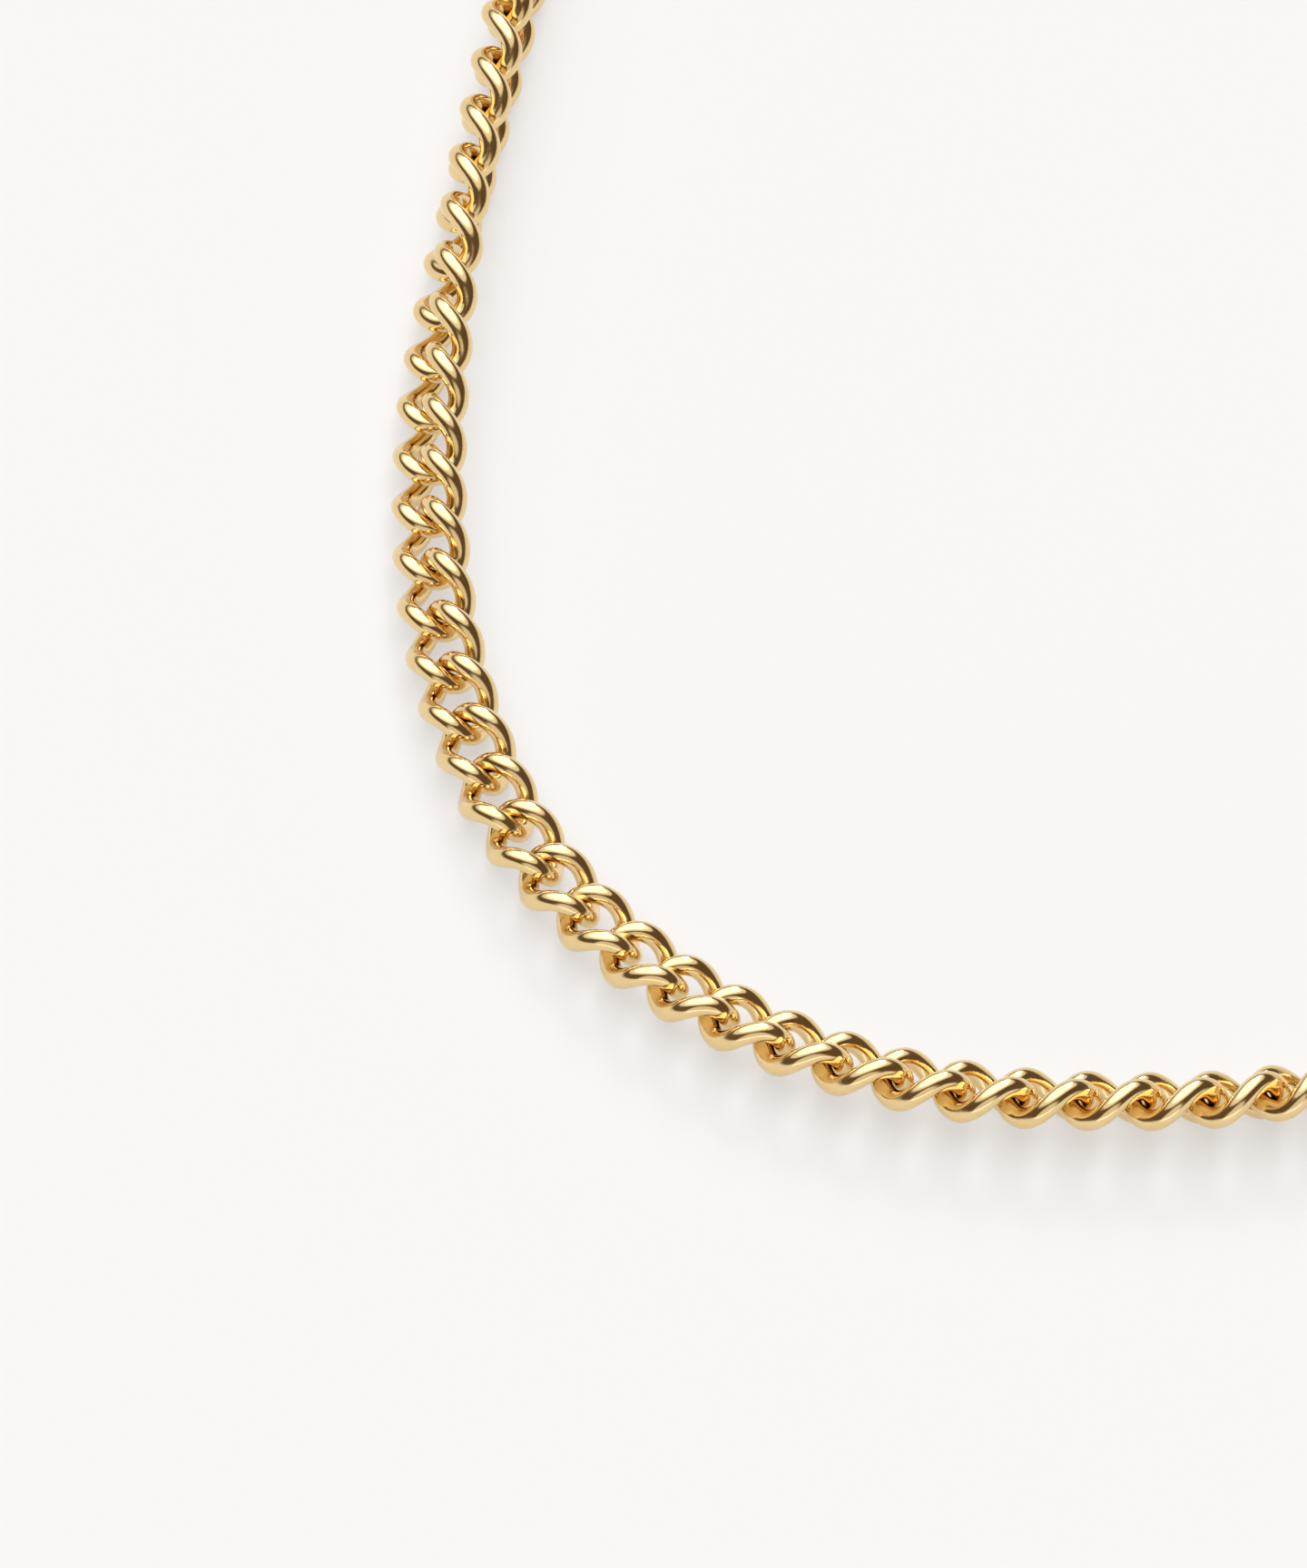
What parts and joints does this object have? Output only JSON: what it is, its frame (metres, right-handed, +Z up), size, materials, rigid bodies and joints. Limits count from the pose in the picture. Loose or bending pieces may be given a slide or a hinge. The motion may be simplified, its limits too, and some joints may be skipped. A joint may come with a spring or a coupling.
{
  "type": "chain necklace",
  "caption": "Gold curb chain of twisted round-wire links, opened at its lobster clasp and laid on a table as an open U.",
  "frame": {"origin": "centre of the bounding box, on the surface that the chain lies on", "axes": "+Z up from the table, +Y from the bottom of the U towards its two open ends, +X towards the arm with the end ring"},
  "size_m": [0.142, 0.2104, 0.0039],
  "materials": {
    "link_gold": "mirror-polished yellow gold",
    "run_gold": "mirror-polished yellow gold",
    "ring_gold": "mirror-polished yellow gold",
    "clasp_gold": "polished yellow gold",
    "clasp_steel": "fine satin"
  },
  "bodies": {
    "link_31": {"link_31": "link_gold"},
    "link_30": {"link_30": "link_gold"},
    "link_29": {"link_29": "link_gold"},
    "link_28": {"link_28": "link_gold"},
    "link_27": {"link_27": "link_gold"},
    "link_26": {"link_26": "link_gold"},
    "link_25": {"link_25": "link_gold"},
    "link_24": {"link_24": "link_gold"},
    "link_23": {"link_23": "link_gold"},
    "link_22": {"link_22": "link_gold"},
    "link_21": {"link_21": "link_gold"},
    "link_20": {"link_20": "link_gold"},
    "link_19": {"link_19": "link_gold"},
    "link_18": {"link_18": "link_gold"},
    "link_17": {"link_17": "link_gold"},
    "link_16": {"link_16": "link_gold"},
    "link_15": {"link_15": "link_gold"},
    "link_14": {"link_14": "link_gold"},
    "link_13": {"link_13": "link_gold"},
    "link_12": {"link_12": "link_gold"},
    "link_11": {"link_11": "link_gold"},
    "link_10": {"link_10": "link_gold"},
    "link_09": {"link_09": "link_gold"},
    "link_08": {"link_08": "link_gold"},
    "link_07": {"link_07": "link_gold"},
    "link_06": {"link_06": "link_gold"},
    "link_05": {"link_05": "link_gold"},
    "link_04": {"link_04": "link_gold"},
    "link_03": {"link_03": "link_gold"},
    "link_02": {"link_02": "link_gold"},
    "link_01": {"link_01": "link_gold"},
    "left_chain_1": {"left_chain_1": "run_gold"},
    "left_chain_2": {"left_chain_2": "run_gold"},
    "left_chain_3": {"left_chain_3": "run_gold"},
    "left_chain_4": {"left_chain_4": "run_gold"},
    "left_end_link": {"left_end_link": "link_gold"},
    "clasp_jump_ring": {"clasp_jump_ring": "ring_gold"},
    "clasp": {"clasp_body": "clasp_gold", "clasp_pin": "clasp_steel", "clasp_spring": "clasp_steel"},
    "clasp_lever": {"clasp_lever": "clasp_gold"},
    "link_32": {"link_32": "link_gold"},
    "link_33": {"link_33": "link_gold"},
    "link_34": {"link_34": "link_gold"},
    "link_35": {"link_35": "link_gold"},
    "link_36": {"link_36": "link_gold"},
    "right_chain_1": {"right_chain_1": "run_gold"},
    "right_chain_2": {"right_chain_2": "run_gold"},
    "right_chain_3": {"right_chain_3": "run_gold"},
    "right_chain_4": {"right_chain_4": "run_gold"},
    "right_chain_5": {"right_chain_5": "run_gold"},
    "right_chain_6": {"right_chain_6": "run_gold"},
    "right_end_link": {"right_end_link": "link_gold"},
    "end_ring": {"end_ring": "ring_gold"}
  },
  "joints": [
    {"name": "link_30_hinge", "type": "hinge", "parent": "link_31", "child": "link_30", "pos_m": [0.00549, -0.10342, 0.00184], "axis": [0.0036, -0.0917, -0.9958], "range_deg": [-20, 20]},
    {"name": "link_29_hinge", "type": "hinge", "parent": "link_30", "child": "link_29", "pos_m": [0.00141, -0.10326, 0.00181], "axis": [0.0393, 0.9958, 0.0828], "range_deg": [-20, 20]},
    {"name": "link_28_hinge", "type": "hinge", "parent": "link_29", "child": "link_28", "pos_m": [-0.0005, -0.10303, 0.0018], "axis": [-0.0089, -0.0025, 1], "range_deg": [-20, 20]},
    {"name": "link_27_hinge", "type": "hinge", "parent": "link_28", "child": "link_27", "pos_m": [-0.00448, -0.10213, 0.00177], "axis": [-0.2156, -0.9601, -0.1779], "range_deg": [-20, 20]},
    {"name": "link_26_hinge", "type": "hinge", "parent": "link_27", "child": "link_26", "pos_m": [-0.00632, -0.10157, 0.00174], "axis": [0.0617, 0.1109, -0.9919], "range_deg": [-20, 20]},
    {"name": "link_25_hinge", "type": "hinge", "parent": "link_26", "child": "link_25", "pos_m": [-0.01008, -0.09998, 0.00169], "axis": [0.3672, 0.8816, 0.2965], "range_deg": [-20, 20]},
    {"name": "link_24_hinge", "type": "hinge", "parent": "link_25", "child": "link_24", "pos_m": [-0.01175, -0.09904, 0.00165], "axis": [-0.1669, -0.2146, 0.9623], "range_deg": [-20, 20]},
    {"name": "link_23_hinge", "type": "hinge", "parent": "link_24", "child": "link_23", "pos_m": [-0.01511, -0.09673, 0.00159], "axis": [-0.5048, -0.746, -0.4344], "range_deg": [-20, 20]},
    {"name": "link_22_hinge", "type": "hinge", "parent": "link_23", "child": "link_22", "pos_m": [-0.01658, -0.09549, 0.00155], "axis": [0.3075, 0.2728, -0.9116], "range_deg": [-20, 20]},
    {"name": "link_21_hinge", "type": "hinge", "parent": "link_22", "child": "link_21", "pos_m": [-0.01942, -0.09255, 0.00147], "axis": [0.5869, 0.5822, 0.5627], "range_deg": [-20, 20]},
    {"name": "link_20_hinge", "type": "hinge", "parent": "link_21", "child": "link_20", "pos_m": [-0.02061, -0.09105, 0.00144], "axis": [-0.4689, -0.2704, 0.8409], "range_deg": [-20, 20]},
    {"name": "link_19_hinge", "type": "hinge", "parent": "link_20", "child": "link_19", "pos_m": [-0.02277, -0.08758, 0.00135], "axis": [-0.6162, -0.3997, -0.6786], "range_deg": [-20, 20]},
    {"name": "link_18_hinge", "type": "hinge", "parent": "link_19", "child": "link_18", "pos_m": [-0.02359, -0.08584, 0.00127], "axis": [0.6362, 0.2639, -0.725], "range_deg": [-20, 20]},
    {"name": "link_17_hinge", "type": "hinge", "parent": "link_18", "child": "link_17", "pos_m": [-0.02502, -0.08202, 0.00141], "axis": [0.5662, 0.1841, 0.8034], "range_deg": [-20, 20]},
    {"name": "link_16_hinge", "type": "hinge", "parent": "link_17", "child": "link_16", "pos_m": [-0.02555, -0.08017, 0.00146], "axis": [-0.8129, -0.1868, 0.5517], "range_deg": [-20, 20]},
    {"name": "link_15_hinge", "type": "hinge", "parent": "link_16", "child": "link_15", "pos_m": [-0.02639, -0.07618, 0.00158], "axis": [-0.3957, -0.0558, -0.9167], "range_deg": [-20, 20]},
    {"name": "link_14_hinge", "type": "hinge", "parent": "link_15", "child": "link_14", "pos_m": [-0.02664, -0.07428, 0.00163], "axis": [0.9334, 0.0792, -0.3501], "range_deg": [-20, 20]},
    {"name": "link_13_hinge", "type": "hinge", "parent": "link_14", "child": "link_13", "pos_m": [-0.02695, -0.07021, 0.00173], "axis": [0.1835, -0.0095, 0.983], "range_deg": [-20, 20]},
    {"name": "link_12_hinge", "type": "hinge", "parent": "link_13", "child": "link_12", "pos_m": [-0.02701, -0.06829, 0.00177], "axis": [-0.989, 0.0102, 0.1478], "range_deg": [-20, 20]},
    {"name": "link_11_hinge", "type": "hinge", "parent": "link_12", "child": "link_11", "pos_m": [-0.02695, -0.06421, 0.00183], "axis": [0.0264, 0.0147, -0.9995], "range_deg": [-20, 20]},
    {"name": "link_10_hinge", "type": "hinge", "parent": "link_11", "child": "link_10", "pos_m": [-0.02684, -0.06229, 0.00186], "axis": [0.9895, -0.0898, 0.1132], "range_deg": [-20, 20]},
    {"name": "link_09_hinge", "type": "hinge", "parent": "link_10", "child": "link_09", "pos_m": [-0.02648, -0.05823, 0.00193], "axis": [-0.2844, 0.0085, 0.9587], "range_deg": [-20, 20]},
    {"name": "link_08_hinge", "type": "hinge", "parent": "link_09", "child": "link_08", "pos_m": [-0.02627, -0.05632, 0.00196], "axis": [-0.8978, 0.1242, -0.4226], "range_deg": [-20, 20]},
    {"name": "link_07_hinge", "type": "hinge", "parent": "link_08", "child": "link_07", "pos_m": [-0.02572, -0.05228, 0.00199], "axis": [0.5692, -0.0706, -0.8191], "range_deg": [-20, 20]},
    {"name": "link_06_hinge", "type": "hinge", "parent": "link_07", "child": "link_06", "pos_m": [-0.0254, -0.05038, 0.00199], "axis": [0.7806, -0.1419, 0.6088], "range_deg": [-20, 20]},
    {"name": "link_05_hinge", "type": "hinge", "parent": "link_06", "child": "link_05", "pos_m": [-0.02467, -0.04637, 0.00199], "axis": [-0.7256, 0.1306, 0.6756], "range_deg": [-20, 20]},
    {"name": "link_04_hinge", "type": "hinge", "parent": "link_05", "child": "link_04", "pos_m": [-0.02434, -0.04448, 0.00199], "axis": [-0.7027, 0.1221, -0.7009], "range_deg": [-20, 20]},
    {"name": "link_03_hinge", "type": "hinge", "parent": "link_04", "child": "link_03", "pos_m": [-0.02363, -0.04046, 0.00199], "axis": [0.802, -0.1402, -0.5807], "range_deg": [-20, 20]},
    {"name": "link_02_hinge", "type": "hinge", "parent": "link_03", "child": "link_02", "pos_m": [-0.02328, -0.03857, 0.00199], "axis": [0.5993, -0.1014, 0.7941], "range_deg": [-20, 20]},
    {"name": "link_01_hinge", "type": "hinge", "parent": "link_02", "child": "link_01", "pos_m": [-0.02258, -0.03455, 0.00197], "axis": [-0.8744, 0.1525, 0.4606], "range_deg": [-20, 20]},
    {"name": "left_chain_1_hinge", "type": "hinge", "parent": "link_01", "child": "left_chain_1", "pos_m": [-0.02231, -0.03265, 0.00196], "axis": [-0.4709, 0.0527, -0.8806], "range_deg": [-20, 20]},
    {"name": "left_chain_2_hinge", "type": "hinge", "parent": "left_chain_1", "child": "left_chain_2", "pos_m": [-0.02112, 0.00134, 0.0016], "axis": [0.904, 0.0656, 0.4226], "range_deg": [-20, 20]},
    {"name": "left_chain_3_hinge", "type": "hinge", "parent": "left_chain_2", "child": "left_chain_3", "pos_m": [-0.0269, 0.03269, 0.00129], "axis": [-0.6092, -0.1808, 0.7721], "range_deg": [-20, 20]},
    {"name": "left_chain_4_hinge", "type": "hinge", "parent": "left_chain_3", "child": "left_chain_4", "pos_m": [-0.03963, 0.06423, 0.00131], "axis": [-0.5865, -0.307, -0.7495], "range_deg": [-20, 20]},
    {"name": "left_end_link_hinge", "type": "hinge", "parent": "left_chain_4", "child": "left_end_link", "pos_m": [-0.05798, 0.09025, 0.00186], "axis": [0.2408, 0.2435, -0.9395], "range_deg": [-20, 20]},
    {"name": "clasp_jump_ring_hinge", "type": "hinge", "parent": "left_end_link", "child": "clasp_jump_ring", "pos_m": [-0.06073, 0.09326, 0.00193], "axis": [-0.6449, -0.5781, -0.4999], "range_deg": [-30, 30]},
    {"name": "clasp_hinge", "type": "hinge", "parent": "clasp_jump_ring", "child": "clasp", "pos_m": [-0.06224, 0.09534, 0.00001], "axis": [0, 0, 1], "range_deg": [-30, 30]},
    {"name": "clasp_lever_hinge", "type": "hinge", "parent": "clasp", "child": "clasp_lever", "pos_m": [-0.06352, 0.09946, 0.00001], "axis": [0, 0, 1], "range_deg": [0, 25], "deforming": ["clasp_spring"]},
    {"name": "link_32_hinge", "type": "hinge", "parent": "link_31", "child": "link_32", "pos_m": [0.00741, -0.10342, 0.00185], "axis": [-0.0401, 0.9992, 0.007], "range_deg": [-20, 20]},
    {"name": "link_33_hinge", "type": "hinge", "parent": "link_32", "child": "link_33", "pos_m": [0.01148, -0.10326, 0.00187], "axis": [0.0102, -0.1665, -0.986], "range_deg": [-20, 20]},
    {"name": "link_34_hinge", "type": "hinge", "parent": "link_33", "child": "link_34", "pos_m": [0.01339, -0.10303, 0.00187], "axis": [0.2201, -0.9743, 0.0488], "range_deg": [-20, 20]},
    {"name": "link_35_hinge", "type": "hinge", "parent": "link_34", "child": "link_35", "pos_m": [0.01737, -0.10213, 0.00188], "axis": [-0.0516, 0.2155, 0.9751], "range_deg": [-20, 20]},
    {"name": "link_36_hinge", "type": "hinge", "parent": "link_35", "child": "link_36", "pos_m": [0.01921, -0.10157, 0.00189], "axis": [-0.3859, 0.9166, -0.1045], "range_deg": [-20, 20]},
    {"name": "right_chain_1_hinge", "type": "hinge", "parent": "link_36", "child": "right_chain_1", "pos_m": [0.02297, -0.09998, 0.00191], "axis": [0.1111, -0.2523, -0.9613], "range_deg": [-20, 20]},
    {"name": "right_chain_2_hinge", "type": "hinge", "parent": "right_chain_1", "child": "right_chain_2", "pos_m": [0.03953, -0.07428, 0.00199], "axis": [0.6885, -0.0518, 0.7234], "range_deg": [-20, 20]},
    {"name": "right_chain_3_hinge", "type": "hinge", "parent": "right_chain_2", "child": "right_chain_3", "pos_m": [0.03653, -0.04046, 0.00179], "axis": [-0.9772, -0.1717, -0.1247], "range_deg": [-20, 20]},
    {"name": "right_chain_4_hinge", "type": "hinge", "parent": "right_chain_3", "child": "right_chain_4", "pos_m": [0.03358, -0.00873, 0.00131], "axis": [0.6174, -0.0149, -0.7865], "range_deg": [-20, 20]},
    {"name": "right_chain_5_hinge", "type": "hinge", "parent": "right_chain_4", "child": "right_chain_5", "pos_m": [0.03782, 0.02502, 0.0013], "axis": [0.6428, -0.142, 0.7527], "range_deg": [-20, 20]},
    {"name": "right_chain_6_hinge", "type": "hinge", "parent": "right_chain_5", "child": "right_chain_6", "pos_m": [0.04803, 0.0552, 0.00129], "axis": [-0.5769, 0.2728, 0.7699], "range_deg": [-20, 20]},
    {"name": "right_end_link_hinge", "type": "hinge", "parent": "right_chain_6", "child": "right_end_link", "pos_m": [0.06575, 0.08422, 0.00152], "axis": [-0.4067, 0.3322, -0.851], "range_deg": [-20, 20]},
    {"name": "end_ring_hinge", "type": "hinge", "parent": "right_end_link", "child": "end_ring", "pos_m": [0.06765, 0.08654, 0.00154], "axis": [0.3836, -0.3208, 0.866], "range_deg": [-30, 30]}
  ]
}
